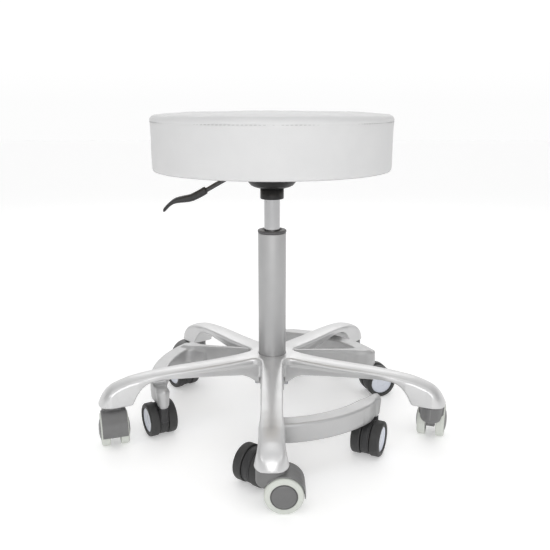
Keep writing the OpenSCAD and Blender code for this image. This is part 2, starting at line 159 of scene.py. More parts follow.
LOOKS = {
    "vinyl": finish("vinyl", (0.63, 0.63, 0.63), (0.61, 0.61, 0.613), (0.5, 0.58), (900, 0.08),
                    cells=650, Coat_Weight=0.08, Coat_Roughness=0.35),
    "thread": finish("thread", (0.5, 0.5, 0.5), (0.44, 0.44, 0.44), (0.6, 0.75), (2500, 0.15)),
    "plywood": finish("plywood", (0.62, 0.54, 0.43), (0.52, 0.44, 0.34), (0.55, 0.7), (60, 0.25),
                      mottle=9, stretch=(1, 14, 1)),
    "foam": finish("foam", (0.8, 0.74, 0.5), (0.76, 0.7, 0.45), (0.85, 0.95), (800, 0.5)),
    "black_steel": finish("black_steel", (0.022, 0.022, 0.024), (0.03, 0.03, 0.032), (0.38, 0.5),
                          (1600, 0.06), wear=((0.2, 0.2, 0.2), 0.4)),
    "zinc_screws": finish("zinc_screws", (0.55, 0.56, 0.58), (0.42, 0.43, 0.46), (0.3, 0.45),
                          (700, 0.03), metallic=1.0),
    "black_plastic": finish("black_plastic", (0.008, 0.008, 0.0085), (0.012, 0.012, 0.0125), (0.36, 0.46),
                            (1500, 0.05), wear=((0.06, 0.06, 0.06), 0.4), Specular_IOR_Level=0.35),
    "chrome_tube": finish("chrome_tube", (0.5, 0.5, 0.505), (0.46, 0.46, 0.465), (0.14, 0.22),
                          (500, 0.01), metallic=1.0, stretch=(1, 1, 0.05)),
    "steel": finish("steel", (0.5, 0.5, 0.51), (0.42, 0.42, 0.43), (0.25, 0.4), (500, 0.03), metallic=1.0),
    "black_rod": finish("black_rod", (0.03, 0.03, 0.032), (0.045, 0.045, 0.047), (0.3, 0.42),
                        (900, 0.04), Coat_Weight=0.2),
    "grip_plastic": finish("grip_plastic", (0.02, 0.02, 0.021), (0.028, 0.028, 0.029), (0.45, 0.58),
                           (1700, 0.07), wear=((0.1, 0.1, 0.1), 0.5)),
    "column_silver": finish("column_silver", (0.44, 0.44, 0.442), (0.42, 0.42, 0.422), (0.36, 0.44),
                            (1400, 0.02), metallic=0.75, stretch=(1, 1, 0.3)),
    "bush_plastic": finish("bush_plastic", (0.085, 0.085, 0.088), (0.07, 0.07, 0.073), (0.4, 0.5),
                           (1500, 0.04)),
    "polished_aluminium": finish("polished_aluminium", (0.64, 0.64, 0.642), (0.61, 0.61, 0.612),
                                 (0.3, 0.36), (60, 0.03), mottle=12, metallic=0.55),
    "satin_aluminium": finish("satin_aluminium", (0.5, 0.5, 0.502), (0.46, 0.46, 0.462), (0.36, 0.44),
                              (700, 0.03), mottle=14, metallic=0.6),
    "grey_hood": finish("grey_hood", (0.165, 0.165, 0.165), (0.145, 0.145, 0.145), (0.38, 0.48), (1300, 0.05),
                        wear=((0.3, 0.3, 0.3), 0.35)),
    "grey_hub": finish("grey_hub", (0.15, 0.15, 0.15), (0.13, 0.13, 0.13), (0.3, 0.4), (1300, 0.04)),
    "grey_tyre": finish("grey_tyre", (0.6, 0.62, 0.575), (0.56, 0.58, 0.54), (0.55, 0.68), (1200, 0.06)),
    "black_fork": finish("black_fork", (0.022, 0.022, 0.023), (0.03, 0.03, 0.031), (0.42, 0.52),
                         (1300, 0.05), wear=((0.08, 0.08, 0.08), 0.4)),
    "black_tyre": finish("black_tyre", (0.028, 0.028, 0.028), (0.038, 0.038, 0.038), (0.5, 0.62),
                         (1100, 0.08), wear=((0.09, 0.09, 0.09), 0.35)),
    "pale_hub": finish("pale_hub", (0.72, 0.75, 0.82), (0.68, 0.71, 0.79), (0.16, 0.24), (600, 0.02),
                       Coat_Weight=0.4, Coat_Roughness=0.1),
}


# ---------------------------------------------------------------- mesh tools
def piece(name, points, faces, slot, body, replaced=(), at=None):
    """A smooth-shaded piece from points in mm. at = (x, y, angle) turns and places a piece
    made about a caster's stem."""
    mesh = bpy.data.meshes.new(name)
    mesh.from_pydata((np.asarray(points, float) * MM).tolist(), [], [list(map(int, f)) for f in faces])
    mesh.validate()
    mesh.materials.append(LOOKS[slot])
    return shared_piece(name, mesh, body, replaced, at)


def shared_piece(name, mesh, body, replaced=(), at=None):
    """A piece with a mesh that other pieces may also have."""
    mesh.shade_smooth()
    made = bpy.data.objects.new(name, mesh)
    bpy.context.scene.collection.objects.link(made)
    if at:
        made.location = (at[0] * MM, at[1] * MM, 0)
        made.rotation_euler = (0, 0, at[2])
    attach(made, body)
    if replaced:
        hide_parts(*replaced)
    return made


def rounded(corners, steps=6):
    """An outline whose corners, given as (r, z, radius), are rounded with arcs."""
    outline = []
    count = len(corners)
    for i, corner in enumerate(corners):
        here = np.array(corner[:2], float)
        radius = corner[2] if len(corner) > 2 else 0
        if radius == 0:
            outline.append(tuple(here))
            continue
        back = np.array(corners[i - 1][:2], float) - here
        ahead = np.array(corners[(i + 1) % count][:2], float) - here
        back_len, ahead_len = np.linalg.norm(back), np.linalg.norm(ahead)
        back, ahead = back / back_len, ahead / ahead_len
        half = math.acos(np.clip(back @ ahead, -1, 1)) / 2
        reach = min(radius / math.tan(half), 0.49 * back_len, 0.49 * ahead_len)
        radius = reach * math.tan(half)
        middle = here + (back + ahead) / np.linalg.norm(back + ahead) * radius / math.sin(half)
        start, end = here + back * reach - middle, here + ahead * reach - middle
        sweep = math.pi - 2 * half
        for k in range(steps + 1):
            share = k / steps
            arm = (start * math.sin((1 - share) * sweep) + end * math.sin(share * sweep)) / math.sin(sweep)
            outline.append(tuple(middle + arm))
    return outline


def lathe(outline, turns=96):
    """Points and faces of a closed outline of (r, z) points turned about Z."""
    points, rings, faces = [], [], []
    for r, z in outline:
        if r < 1e-6:
            rings.append([len(points)] * turns)
            points.append((0, 0, z))
            continue
        rings.append(list(range(len(points), len(points) + turns)))
        for k in range(turns):
            angle = 2 * math.pi * k / turns
            points.append((r * math.cos(angle), r * math.sin(angle), z))
    for i, ring in enumerate(rings):
        following = rings[(i + 1) % len(rings)]
        for k in range(turns):
            m = (k + 1) % turns
            corners = [ring[k], ring[m], following[m], following[k]]
            corners = [c for j, c in enumerate(corners) if c != corners[j - 1]]
            if len(corners) > 2:
                faces.append(corners)
    return np.array(points), faces


def joined(*parts):
    """Several (points, faces) as one."""
    points, faces, start = [], [], 0
    for part_points, part_faces in parts:
        points.append(np.asarray(part_points, float))
        faces += [[c + start for c in face] for face in part_faces]
        start += len(part_points)
    return np.concatenate(points), faces


def turned_on_axle(outline, x, z, turns=96):
    """A closed outline of (radius, offset) turned about an axle along Y at (x, z), and its
    mirror image."""
    sides = []
    for side in (1, -1):
        points, faces = lathe(outline, turns)
        placed = np.stack([x + points[:, 0], side * points[:, 2], z + points[:, 1]], 1)
        sides.append((placed, faces if side < 0 else [face[::-1] for face in faces]))
    return joined(*sides)


def spline(points, count):
    """Catmull-Rom curve through points, as count samples."""
    points = np.asarray(points, float)
    padded = np.vstack([2 * points[0] - points[1], points, 2 * points[-1] - points[-2]])
    steps = np.linspace(0, len(points) - 1 - 1e-9, count)
    i = steps.astype(int)
    t = (steps - i)[:, None]
    p0, p1, p2, p3 = padded[i], padded[i + 1], padded[i + 2], padded[i + 3]
    return 0.5 * (2 * p1 + (p2 - p0) * t + (2 * p0 - 5 * p1 + 4 * p2 - p3) * t**2
                  + (3 * p1 - p0 - 3 * p2 + p3) * t**3)


def loft(sections):
    """Points and faces of a closed skin over rings of equal length, capped at both ends."""
    rings, size = len(sections), len(sections[0])
    points = np.concatenate(sections)
    faces = []
    for i in range(rings - 1):
        for k in range(size):
            m = (k + 1) % size
            faces.append([i * size + k, i * size + m, (i + 1) * size + m, (i + 1) * size + k])
    faces.append(list(range(size))[::-1])
    faces.append(list(range((rings - 1) * size, rings * size)))
    return points, faces


# ---------------------------------------------------------------- distance functions
def smooth_max(a, b, r):
    """The larger of two distances, with the edge between them rounded to radius r."""
    return np.minimum(-r, np.maximum(a, b)) + np.hypot(np.maximum(a + r, 0), np.maximum(b + r, 0))


def smooth_min(a, b, r):
    """The smaller of two distances, with the corner between them filled to radius r."""
    return -smooth_max(-a, -b, r)


def smooth_profile(points, spread):
    """A smoothed function of a table of (position, value). It returns the value and the
    cosine of the slope there, which turns a height difference into a distance."""
    pitch = 0.5
    position, value = np.array(points, float).T
    reach = int(3 * spread / pitch)
    samples = np.arange(position[0], position[-1] + pitch, pitch)
    kernel = np.exp(-0.5 * (np.arange(-reach, reach + 1) * pitch / spread) ** 2)
    raised = np.pad(np.interp(samples, position, value), reach, mode="reflect", reflect_type="odd")
    smooth = np.convolve(raised, kernel / kernel.sum(), "valid")
    cosine = 1 / np.hypot(1, np.gradient(smooth, pitch))
    return lambda u: (np.interp(u, samples, smooth), np.interp(u, samples, cosine))


def surface_net(distance, low, high, step):
    """Points and quads of the surface where distance(x, y, z) is 0, one point in each cell
    that the surface crosses, drawn onto the surface by Newton steps."""
    axes = [np.arange(a, b + step, step) for a, b in zip(low, high)]
    values = np.empty([len(axis) for axis in axes], np.float32)
    slab = max(1, int(2e6 / (len(axes[1]) * len(axes[2]))))
    for i in range(0, len(axes[0]), slab):
        values[i:i + slab] = distance(*np.meshgrid(axes[0][i:i + slab], axes[1], axes[2], indexing="ij"))
    inside = values < 0
    offsets = [(i, j, k) for i in (0, 1) for j in (0, 1) for k in (0, 1)]
    cells = [n - 1 for n in values.shape]

    def corner(field, o):
        return field[o[0]:o[0] + cells[0], o[1]:o[1] + cells[1], o[2]:o[2] + cells[2]]

    filled = sum(corner(inside, o).astype(np.int8) for o in offsets)
    mixed = (filled > 0) & (filled < 8)
    index = np.full(cells, -1, np.int64)
    index[mixed] = np.arange(mixed.sum())
    at = {o: corner(values, o)[mixed].astype(float) for o in offsets}
    total, crossings = np.zeros((mixed.sum(), 3)), np.zeros(mixed.sum())
    for a in offsets:
        for axis in range(3):
            if a[axis]:
                continue
            b = tuple(1 if n == axis else a[n] for n in range(3))
            crosses = (at[a] < 0) != (at[b] < 0)
            share = np.where(crosses, at[a] / np.where(crosses, at[a] - at[b], 1), 0)
            place = np.array(a, float) + share[:, None] * (np.array(b) - np.array(a))
            total += place * crosses[:, None]
            crossings += crosses
    points = np.stack(np.nonzero(mixed), 1) + total / crossings[:, None]
    points = points * step + np.array([axis[0] for axis in axes])

    faces = []
    for axis in range(3):
        one, two = [n for n in range(3) if n != axis]
        start = [slice(1, n - 1) for n in values.shape]
        start[axis] = slice(0, values.shape[axis] - 1)
        end = list(start)
        end[axis] = slice(1, values.shape[axis])
        a, b = inside[tuple(start)], inside[tuple(end)]
        place = np.stack(np.nonzero(a != b), 1)
        place[:, one] += 1
        place[:, two] += 1
        quad = []
        for back_one, back_two in ((0, 0), (1, 0), (1, 1), (0, 1)):
            cell = place.copy()
            cell[:, one] -= back_one
            cell[:, two] -= back_two
            quad.append(index[tuple(cell.T)])
        quad = np.stack(quad, 1)
        outward = a[a != b] == (axis != 1)
        quad[~outward] = quad[~outward][:, ::-1]
        faces.append(quad)
    faces = np.concatenate(faces)

    nudge = 0.05
    tetrahedron = np.array([(1, -1, -1), (-1, -1, 1), (-1, 1, -1), (1, 1, 1)], float)
    for _ in range(3):
        slope = sum(distance(*(points + nudge * t).T)[:, None] * t for t in tetrahedron) / (4 * nudge)
        size = np.maximum((slope**2).sum(1), 0.2)
        move = distance(*points.T) / size
        move = np.clip(move, -0.5 * step, 0.5 * step)
        points -= move[:, None] * slope
    return points, faces


# ---------------------------------------------------------------- sizes from the frame
seat_low, seat_high = node_box("seat_cover")
SEAT_R = seat_high[0]
SEAT_BOTTOM, SEAT_TOP = seat_low[2], seat_high[2]
BOARD_LOW, BOARD_HIGH = node_box("seat_board")[0][2], node_box("seat_board")[1][2]
PLATE_Z = node_box("seat_plate")[1][2] - 3
COLUMN_R = node_box("column_tube")[1][0]
COLUMN_TOP = node_box("column_tube")[1][2]
CYLINDER_R = node_box("gas_cylinder")[1][0]
CYLINDER_LOW, CYLINDER_HIGH = node_box("gas_cylinder")[0][2], node_box("gas_cylinder")[1][2]
BUSH_R = node_box("column_bush")[1][0]
BUSH_TOP = node_box("column_bush")[1][2]
HUB_TOP = node_box("star_base")[1][2]
FRAME_LOW = node_box("foot_frame")[0][2]
JOINTS = {joint["name"]: joint for joint in frame["joints"]}


def caster_place(swivel, roll):
    """(x, y, angle) of a caster from its two joints, and the trail and height of its axle."""
    stem = np.array(JOINTS[swivel]["pos_m"][:2]) / MM
    axle = np.array(JOINTS[roll]["pos_m"]) / MM
    reach = axle[:2] - stem
    return (stem[0], stem[1], math.atan2(reach[1], reach[0])), np.hypot(*reach), axle[2]


# ---------------------------------------------------------------- star base
STAR_STEM_R = np.hypot(*JOINTS["front_star_swivel"]["pos_m"][:2]) / MM
TIP_R, TIP_BOTTOM, TIP_DRAFT = 25.5, 67.5, 0.18
FRONT = -math.pi / 2
FIFTH = 2 * math.pi / 5
JOINT_Z = 90.0
BOSS_BOTTOM_R, BOSS_TOP_R = 35.5, 33.0
STAR_WALL, STAR_ROOF = 4.8, 5.5
HOLLOW_START, HOLLOW_END, STAR_RIBS, RIB_HALF = 66, 250, (110, 160, 210), 1.4
END_WALL, END_WALL_U = 4.5, 236.0
STAR_STEM_HOLE_R, STAR_STEM_HOLE_TOP = 5.6, 87
star_ridge = smooth_profile([(0, HUB_TOP - 0.4), (38, HUB_TOP - 0.4), (60, 125.2), (125, 121.5), (180, 119.6),
                             (217, 117.2), (240, 114.8), (262, 111.6), (280, 106.2), (293, 101), (304, 92.5),
                             (312, 83), (319, 71), (323, 64)], 3)
star_crown = smooth_profile([(0, 0), (40, 0), (80, 2.2), (200, 2.6), (250, 4.2), (275, 7), (300, 7.5),
                             (325, 7)], 8)
star_under = smooth_profile([(0, 76), (37.5, 80), (44, 85.5), (50, 90), (62, 95.5), (100, 99), (142, 102),
                             (178, 104), (204, 105.5), (225, 104), (235, 101), (244, 95), (253, 84),
                             (257.5, 75), (261.5, 67.5), (264, 67.5), (325, 67.5)], 1.6)
star_half = smooth_profile([(0, 18.3), (150, 18), (200, 17.4), (235, 18.6), (262, 21.5), (280, 23.9),
                            (STAR_STEM_R, TIP_R), (325, TIP_R)], 6)


def arm_plan(u, v):
    """Distance in plan from the outline of an arm along u."""
    return np.where(u > STAR_STEM_R, np.hypot(u - STAR_STEM_R, v) - TIP_R, v - star_half(u)[0])


def star_solid(x, y, z):
    """Distance from the star without its hollows, with what the hollows need."""
    r = np.hypot(x, y)
    off = np.abs((np.arctan2(y, x) - FRONT + FIFTH / 2) % FIFTH - FIFTH / 2)
    u, v = r * np.cos(off), r * np.sin(off)
    plan = arm_plan(u, v)
    other = arm_plan(r * np.cos(FIFTH - off), r * np.sin(FIFTH - off))
    ridge, ridge_cos = star_ridge(u)
    top = ridge - star_crown(u)[0] * (v / star_half(u)[0]) ** 2
    under, under_cos = star_under(u)
    draft = 0.02 * (z - 100) + TIP_DRAFT * np.clip((u - 250) / 35, 0, 1) * np.clip(z - TIP_BOTTOM, 0, 45)
    plate = smooth_max(smooth_min(plan, other, 27) + draft, 113.5 - z, 3)
    webs = smooth_max(smooth_min(plan, other, 9) + draft, (under - z) * under_cos, 1.4)
    webs = np.maximum(webs, BOSS_BOTTOM_R + 0.3 - r)
    boss_r = np.interp(z, [JOINT_Z, HUB_TOP - 4], [BOSS_BOTTOM_R, BOSS_TOP_R])
    boss = smooth_max(r - boss_r, JOINT_Z - z, 1)
    lower = smooth_min(smooth_min(plate, webs, 5), boss, 3)
    return smooth_max(lower, (z - top) * ridge_cos, 5), (r, u, v, plan, top, (z - under) * under_cos)


def star_distance(x, y, z):
    """Distance from the star with its ribbed hollows, its bore and its stem holes."""
    solid, (r, u, v, plan, top, above_under) = star_solid(x, y, z)
    from_stem = np.hypot(u - STAR_STEM_R, v)
    hollow = smooth_max(plan + STAR_WALL, z - (top - STAR_ROOF), 3)
    hollow = smooth_max(hollow, np.maximum(HOLLOW_START - u, u - HOLLOW_END), 1)
    hollow = smooth_max(hollow, np.where(u > END_WALL_U, END_WALL - above_under, -END_WALL), 1)
    for rib in STAR_RIBS:
        hollow = smooth_max(hollow, RIB_HALF - np.abs(u - rib), 1.2)
    solid = smooth_max(solid, -hollow, 1)
    solid = np.maximum(solid, COLUMN_R + 0.05 - r)
    return np.maximum(solid, -np.maximum(from_stem - STAR_STEM_HOLE_R, z - STAR_STEM_HOLE_TOP))


star_points, star_faces = surface_net(star_distance, (-325, -325, 60), (325, 325, 132),
                                      1.6)
piece("star_casting", star_points, star_faces, "polished_aluminium", "base", ["star_base"])


# ---------------------------------------------------------------- foot frame
def bearing(joint):
    """Direction of a joint's axis from the column, in plan."""
    x, y = JOINTS[joint]["pos_m"][:2]
    return math.atan2(y, x)


FOOT_STEM_R = np.hypot(*JOINTS["foot_swivel_1"]["pos_m"][:2]) / MM
SPOKES = [bearing(f"foot_swivel_{n}") for n in (1, 3, 5)]
NOSES = [bearing(f"foot_swivel_{n}") for n in (2, 4, 6)]
RAIL_STARTS = np.radians([2.7, 3.2, 1.8])
RAIL_HALF, RAIL_WALL = 13.5, 4.0
RAIL_TOP, RAIL_BOTTOM = 95.0, FRAME_LOW
RING_TOP, RING_BOTTOM = JOINT_Z, 74.5
BOW_SLOPE, BOW_REACH, BOW_END, NOSE_BOSS_R = math.radians(15.4), 6.1, 12.0, 9.6
spoke_ridge = smooth_profile([(0, 125), (44, 125), (60, 122.3), (108, 114.1), (152, 106.6), (195, 99.5),
                              (FOOT_STEM_R, 98.5), (240, 98)], 5)
low_ridge = smooth_profile([(0, 78), (46, 79), (60, 83), (100, 89), (150, 92), (FOOT_STEM_R, 93),
                            (240, 93)], 5)
spoke_under = smooth_profile([(0, 76.5), (28, 76.5), (60, 73), (120, 67.5), (190, 65), (240, 65)], 6)
spoke_half = smooth_profile([(0, 5.4), (60, 5.4), (150, 6.4), (178, 8), (200, 13), (240, 13)], 5)


def bow(r, past_nose, depth):
    """Distance in plan from a rail that narrows to a rounded bow over its last caster; the
    bow's sides lean in with depth below the rail's top."""
    lean = 0.12 * np.clip(depth - 4, 0, None) * np.clip(1 + past_nose / 40, 0, 1)
    sides = np.abs(r - FOOT_STEM_R) * math.cos(BOW_SLOPE) + past_nose * math.sin(BOW_SLOPE) - BOW_REACH
    return smooth_max(sides, past_nose - BOW_END, 5) + lean


def foot_arm(x, y, z, i):
    """Distance from one spoke with its rail."""
    r = np.hypot(x, y)
    u = x * math.cos(SPOKES[i]) + y * math.sin(SPOKES[i])
    v = y * math.cos(SPOKES[i]) - x * math.sin(SPOKES[i])
    angle = np.arctan2(v, u)
    nose = (NOSES[i] - SPOKES[i]) % (2 * math.pi)
    draft = 0.025 * (z - RAIL_TOP)
    along = np.clip(angle, -0.5, nose + 0.2)
    rail = np.hypot(u - FOOT_STEM_R * np.cos(along), v - FOOT_STEM_R * np.sin(along)) - RAIL_HALF
    start = -u * math.sin(RAIL_STARTS[i]) - v * math.cos(RAIL_STARTS[i])
    whole = smooth_max(rail, start, 5)
    whole = smooth_max(whole, bow(r, FOOT_STEM_R * (angle - nose), RAIL_TOP - z), 3)
    spoke = smooth_max(np.maximum(np.abs(v) - spoke_half(u)[0], u - FOOT_STEM_R), 20 - u, 1)
    ridge, ridge_cos = (low_ridge if i == 2 else spoke_ridge)(u)
    under, under_cos = spoke_under(u)
    rib = smooth_max(spoke + draft, (z - ridge) * ridge_cos, 2.6)
    rib = smooth_max(rib, (under - z) * under_cos, 1.5)
    band = smooth_max(whole + draft, z - RAIL_TOP, 3.5)
    band = smooth_max(band, RAIL_BOTTOM - z, 1.2)
    web = smooth_max(smooth_min(whole, spoke, 18) + draft, z - (RAIL_TOP - 1), 3)
    web = smooth_max(web, RAIL_BOTTOM + 4 - z, 1.2)
    band = smooth_min(band, smooth_max(web, 160 - u, 1), 2)
    from_nose = np.hypot(u - FOOT_STEM_R * math.cos(nose), v - FOOT_STEM_R * math.sin(nose))
    hollow = np.maximum(whole + RAIL_WALL, z - (RAIL_TOP - 5))
    hollow = smooth_max(hollow, r * math.sin(0.09) - v, 2)
    hollow = smooth_max(hollow, NOSE_BOSS_R - from_nose, 1.5)
    band = smooth_max(band, -hollow, 1)
    boss_r = NOSE_BOSS_R + 0.07 * (z - RAIL_BOTTOM)
    boss = smooth_max(smooth_max(from_nose - boss_r, z - (RAIL_TOP - 4), 4), RAIL_BOTTOM - z, 1.2)
    arm = smooth_min(smooth_min(band, boss, 8), rib, 8)
    return smooth_max(arm, start, 3) if i == 2 else arm


def foot_distance(x, y, z):
    """Distance from the foot frame: its hub ring and three arms, clear of star and column."""
    r = np.hypot(x, y)
    shape = smooth_max(smooth_max(r - BOSS_BOTTOM_R, z - RING_TOP, 0.6), RING_BOTTOM - z, 2)
    for i in range(3):
        shape = smooth_min(shape, foot_arm(x, y, z, i), 3)
    shape = smooth_max(shape, 0.5 - star_solid(x, y, z)[0], 0.6)
    return np.maximum(shape, COLUMN_R + 0.2 - r)


foot_points, foot_faces = surface_net(foot_distance, (-230, -230, 60), (230, 230, 130),
                                      1.5)
piece("foot_casting", foot_points, foot_faces, "satin_aluminium", "base", ["foot_frame"])


# ---------------------------------------------------------------- casters
AXLE_ROOM_R = 4.05
STAR_WHEEL_R, HOOD_R, HOOD_HALF = 29.5, 31.9, 21.5
BARREL_HALF, BARREL_FRONT, BARREL_BOTTOM, BARREL_TOP, WEB_HALF = 19.2, 23.8, 35.5, 66.5, 7.5


def star_housing_distance(x, y, z, trail, axle_z):
    """Distance from a grey housing: its hood over two wheels, the barrel round its stem and
    the web between the wheels. The stem is at x = y = 0."""
    q = np.hypot(x - trail, z - axle_z)
    side = np.abs(y)
    shell = smooth_max(q - HOOD_R, side - HOOD_HALF, 0.7)
    shell = smooth_max(shell, axle_z - 4 - z, 0.7)
    shell = np.maximum(shell, -(x + 6))
    barrel = np.hypot(x * BARREL_HALF / BARREL_FRONT, y) - BARREL_HALF
    barrel = smooth_max(smooth_max(barrel, BARREL_BOTTOM - z, 9), z - BARREL_TOP, 2)
    barrel = np.maximum(barrel, x - trail)
    shape = smooth_min(shell, barrel, 2.5)
    wheel_room = np.maximum(q - STAR_WHEEL_R - 0.9, WEB_HALF - side)
    shape = smooth_max(shape, -wheel_room, 0.6)
    web = smooth_max(np.maximum(q - HOOD_R + 0.5, side - WEB_HALF), axle_z - 5 - z, 2)
    web = smooth_max(web, 36 - 0.31 * (x + BARREL_HALF) - z, 1)
    boss = np.maximum(q - 8, side - WEB_HALF - 0.9)
    shape = smooth_min(shape, np.minimum(web, boss), 1.5)
    return np.maximum(shape, AXLE_ROOM_R - q)


# Wheels, tyres and discs as (radius, distance from the caster's middle plane).
star_tyre_outline = rounded([(20.2, 9), (28.6, 9, 0.8), (29.5, 10.2, 1), (29.5, 23.5, 4.2),
                             (20.2, 23.5, 0.6)])
star_hub_outline = rounded([(4, 9.5), (20, 9.5, 0.6), (20, 23, 0.3), (19.3, 23, 0.2), (19.1, 21.8),
                            (18.7, 21.8), (18.6, 23.6, 1.2), (14.5, 25.2, 6), (8, 26.4, 8), (0, 26.8),
                            (0, 22), (4, 22)])
foot_wheel_outline = rounded([(4, 8.5), (29, 8.5, 0.8), (30, 9.8, 0.9), (30, 24.5, 5.2), (22.4, 24.5, 0.9),
                              (21.6, 22.8, 0.5), (21.6, 17.5), (4, 17.5)], 8)
foot_hub_outline = rounded([(4, 17.6), (21.5, 17.6), (21.5, 22.4, 0.6), (20, 22.4, 0.7), (18.6, 20.9, 1.2),
                            (9, 19.6, 6), (6.5, 20.6, 1.5), (0, 21.2), (0, 18.5), (4, 18.5)])
FOOT_FORK_R, FOOT_FORK_HALF, FOOT_NECK_R = 28.5, 7.5, 8.4
FORK_GROOVE_Y, FORK_GROOVE_HALF = 4.6, 0.5


def foot_housing_distance(x, y, z, trail, axle_z):
    """Distance from a black housing: a grooved disc between the wheels, with the neck round
    its stem at x = y = 0."""
    q = np.hypot(x - trail, z - axle_z)
    side = np.abs(y)
    disc = smooth_max(q - FOOT_FORK_R, side - FOOT_FORK_HALF, 1.6)
    groove = np.maximum(np.abs(side - FORK_GROOVE_Y) - FORK_GROOVE_HALF, FOOT_FORK_R - 0.7 - q)
    disc = smooth_max(disc, -groove, 0.4)
    neck = smooth_max(np.hypot(x, y) - FOOT_NECK_R, np.maximum(z - 59, 33 - z), 1.2)
    shape = smooth_min(disc, neck, 3)
    return np.maximum(shape, AXLE_ROOM_R - q)


def housing_mesh(name, distance, trail, axle_z, slot, high, step):
    """A mesh of one housing, which all casters of its kind have."""
    points, faces = surface_net(lambda x, y, z: distance(x, y, z, trail, axle_z),
                                (-27, -24, -2), (trail + 34, 24, high), step)
    mesh = bpy.data.meshes.new(name)
    mesh.from_pydata((points * MM).tolist(), [], faces.tolist())
    mesh.materials.append(LOOKS[slot])
    return mesh


def wheel_mesh(name, outline, slot, trail, axle_z, turns=96):
    """A mesh of one outline turned about the axle on both sides, which all casters of its
    kind have."""
    points, faces = turned_on_axle(outline, trail, axle_z, turns)
    mesh = bpy.data.meshes.new(name)
    mesh.from_pydata((points * MM).tolist(), [], faces)
    mesh.materials.append(LOOKS[slot])
    return mesh


HOUSING_STEP = 0.8
_, STAR_TRAIL, STAR_AXLE_Z = caster_place("front_star_swivel", "front_star_roll")
_, FOOT_TRAIL, FOOT_AXLE_Z = caster_place("foot_swivel_1", "foot_roll_1")
star_housing = housing_mesh("star_housing", star_housing_distance, STAR_TRAIL, STAR_AXLE_Z, "grey_hood", 68,
                            HOUSING_STEP)
foot_housing = housing_mesh("foot_housing", foot_housing_distance, FOOT_TRAIL, FOOT_AXLE_Z, "black_fork", 61,
                            HOUSING_STEP)
star_axle_outline = [(0, 0), (4, 0), (4, 22), (0, 22)]
star_tyres = wheel_mesh("star_tyres", star_tyre_outline, "grey_tyre", STAR_TRAIL, STAR_AXLE_Z)
star_hubs = wheel_mesh("star_hubs", star_hub_outline, "grey_hub", STAR_TRAIL, STAR_AXLE_Z)
foot_wheels = wheel_mesh("foot_wheels", foot_wheel_outline, "black_tyre", FOOT_TRAIL, FOOT_AXLE_Z)
foot_hubs = wheel_mesh("foot_hubs", foot_hub_outline, "pale_hub", FOOT_TRAIL, FOOT_AXLE_Z)
star_axle_mesh = wheel_mesh("star_axle", star_axle_outline, "steel", STAR_TRAIL, STAR_AXLE_Z, 32)
for side in ("front", "right", "back_right", "back_left", "left"):
    place, _, _ = caster_place(f"{side}_star_swivel", f"{side}_star_roll")
    fork, wheelset, cad = f"{side}_star_fork", f"{side}_star_wheelset", f"star_caster_{side}_"
    shared_piece(f"{side}_star_hood", star_housing, fork, [cad + "housing"], place)
    shared_piece(f"{side}_star_axle", star_axle_mesh, wheelset, [cad + "axle"], place)
    shared_piece(f"{side}_star_tyres", star_tyres, wheelset, [cad + "tyres"], place)
    shared_piece(f"{side}_star_hubs", star_hubs, wheelset, [cad + "wheels"], place)
for n in range(1, 7):
    place, _, _ = caster_place(f"foot_swivel_{n}", f"foot_roll_{n}")
    cad = f"foot_caster_{n}_"
    fork, wheelset = f"foot_fork_{n}", f"foot_wheelset_{n}"
    shared_piece(f"foot_fork_body_{n}", foot_housing, fork, [cad + "housing"], place)
    shared_piece(f"foot_tyres_{n}", foot_wheels, wheelset, [cad + "wheels"], place)
    shared_piece(f"foot_hub_discs_{n}", foot_hubs, wheelset, [cad + "hubs"], place)


# ---------------------------------------------------------------- column, bush, gas cylinder
FLOOR_LOW, FLOOR_TOP, SPIGOT_R, ROD_HOLE_R = 53, 56, 22.5, 5.5
BORE_R, BORE_TOP_R = 20.5, 23.4
column_outline = rounded([(SPIGOT_R, FLOOR_LOW, 0.8), (SPIGOT_R, 74.5), (COLUMN_R, 74.5, 0.5),
                          (COLUMN_R, COLUMN_TOP, 0.8), (BORE_TOP_R, COLUMN_TOP, 0.4), (BORE_TOP_R, 80),
                          (BORE_R, 80), (BORE_R, FLOOR_TOP), (ROD_HOLE_R, FLOOR_TOP),
                          (ROD_HOLE_R, FLOOR_LOW)])
piece("column", *lathe(column_outline, 160), "column_silver", "base", ["column_tube"])

BUSH_LOW, GUIDE_R = COLUMN_TOP - 30, CYLINDER_R + 0.05
bush_outline = rounded([(23.3, BUSH_LOW), (23.3, COLUMN_TOP - 0.2), (COLUMN_R - 0.8, COLUMN_TOP, 0.2),
                        (COLUMN_R - 0.8, COLUMN_TOP + 1.1, 0.2), (BUSH_R, COLUMN_TOP + 1.3, 0.5),
                        (BUSH_R, BUSH_TOP, 1.6), (18, BUSH_TOP, 0.8), (16.6, BUSH_TOP - 1.6, 0.6),
                        (GUIDE_R, BUSH_TOP - 1.6, 0.4), (GUIDE_R, BUSH_LOW)])
piece("bush", *lathe(bush_outline, 160), "bush_plastic", "base", ["column_bush"])

cylinder_outline = rounded([(5.05, CYLINDER_LOW), (CYLINDER_R, CYLINDER_LOW, 1.2),
                            (CYLINDER_R, CYLINDER_HIGH, 1.2), (4.05, CYLINDER_HIGH),
                            (4.05, 424), (12, 424), (12, 220), (5.05, 220)])
piece("lift_cylinder", *lathe(cylinder_outline, 128), "chrome_tube", "seat", ["gas_cylinder"])


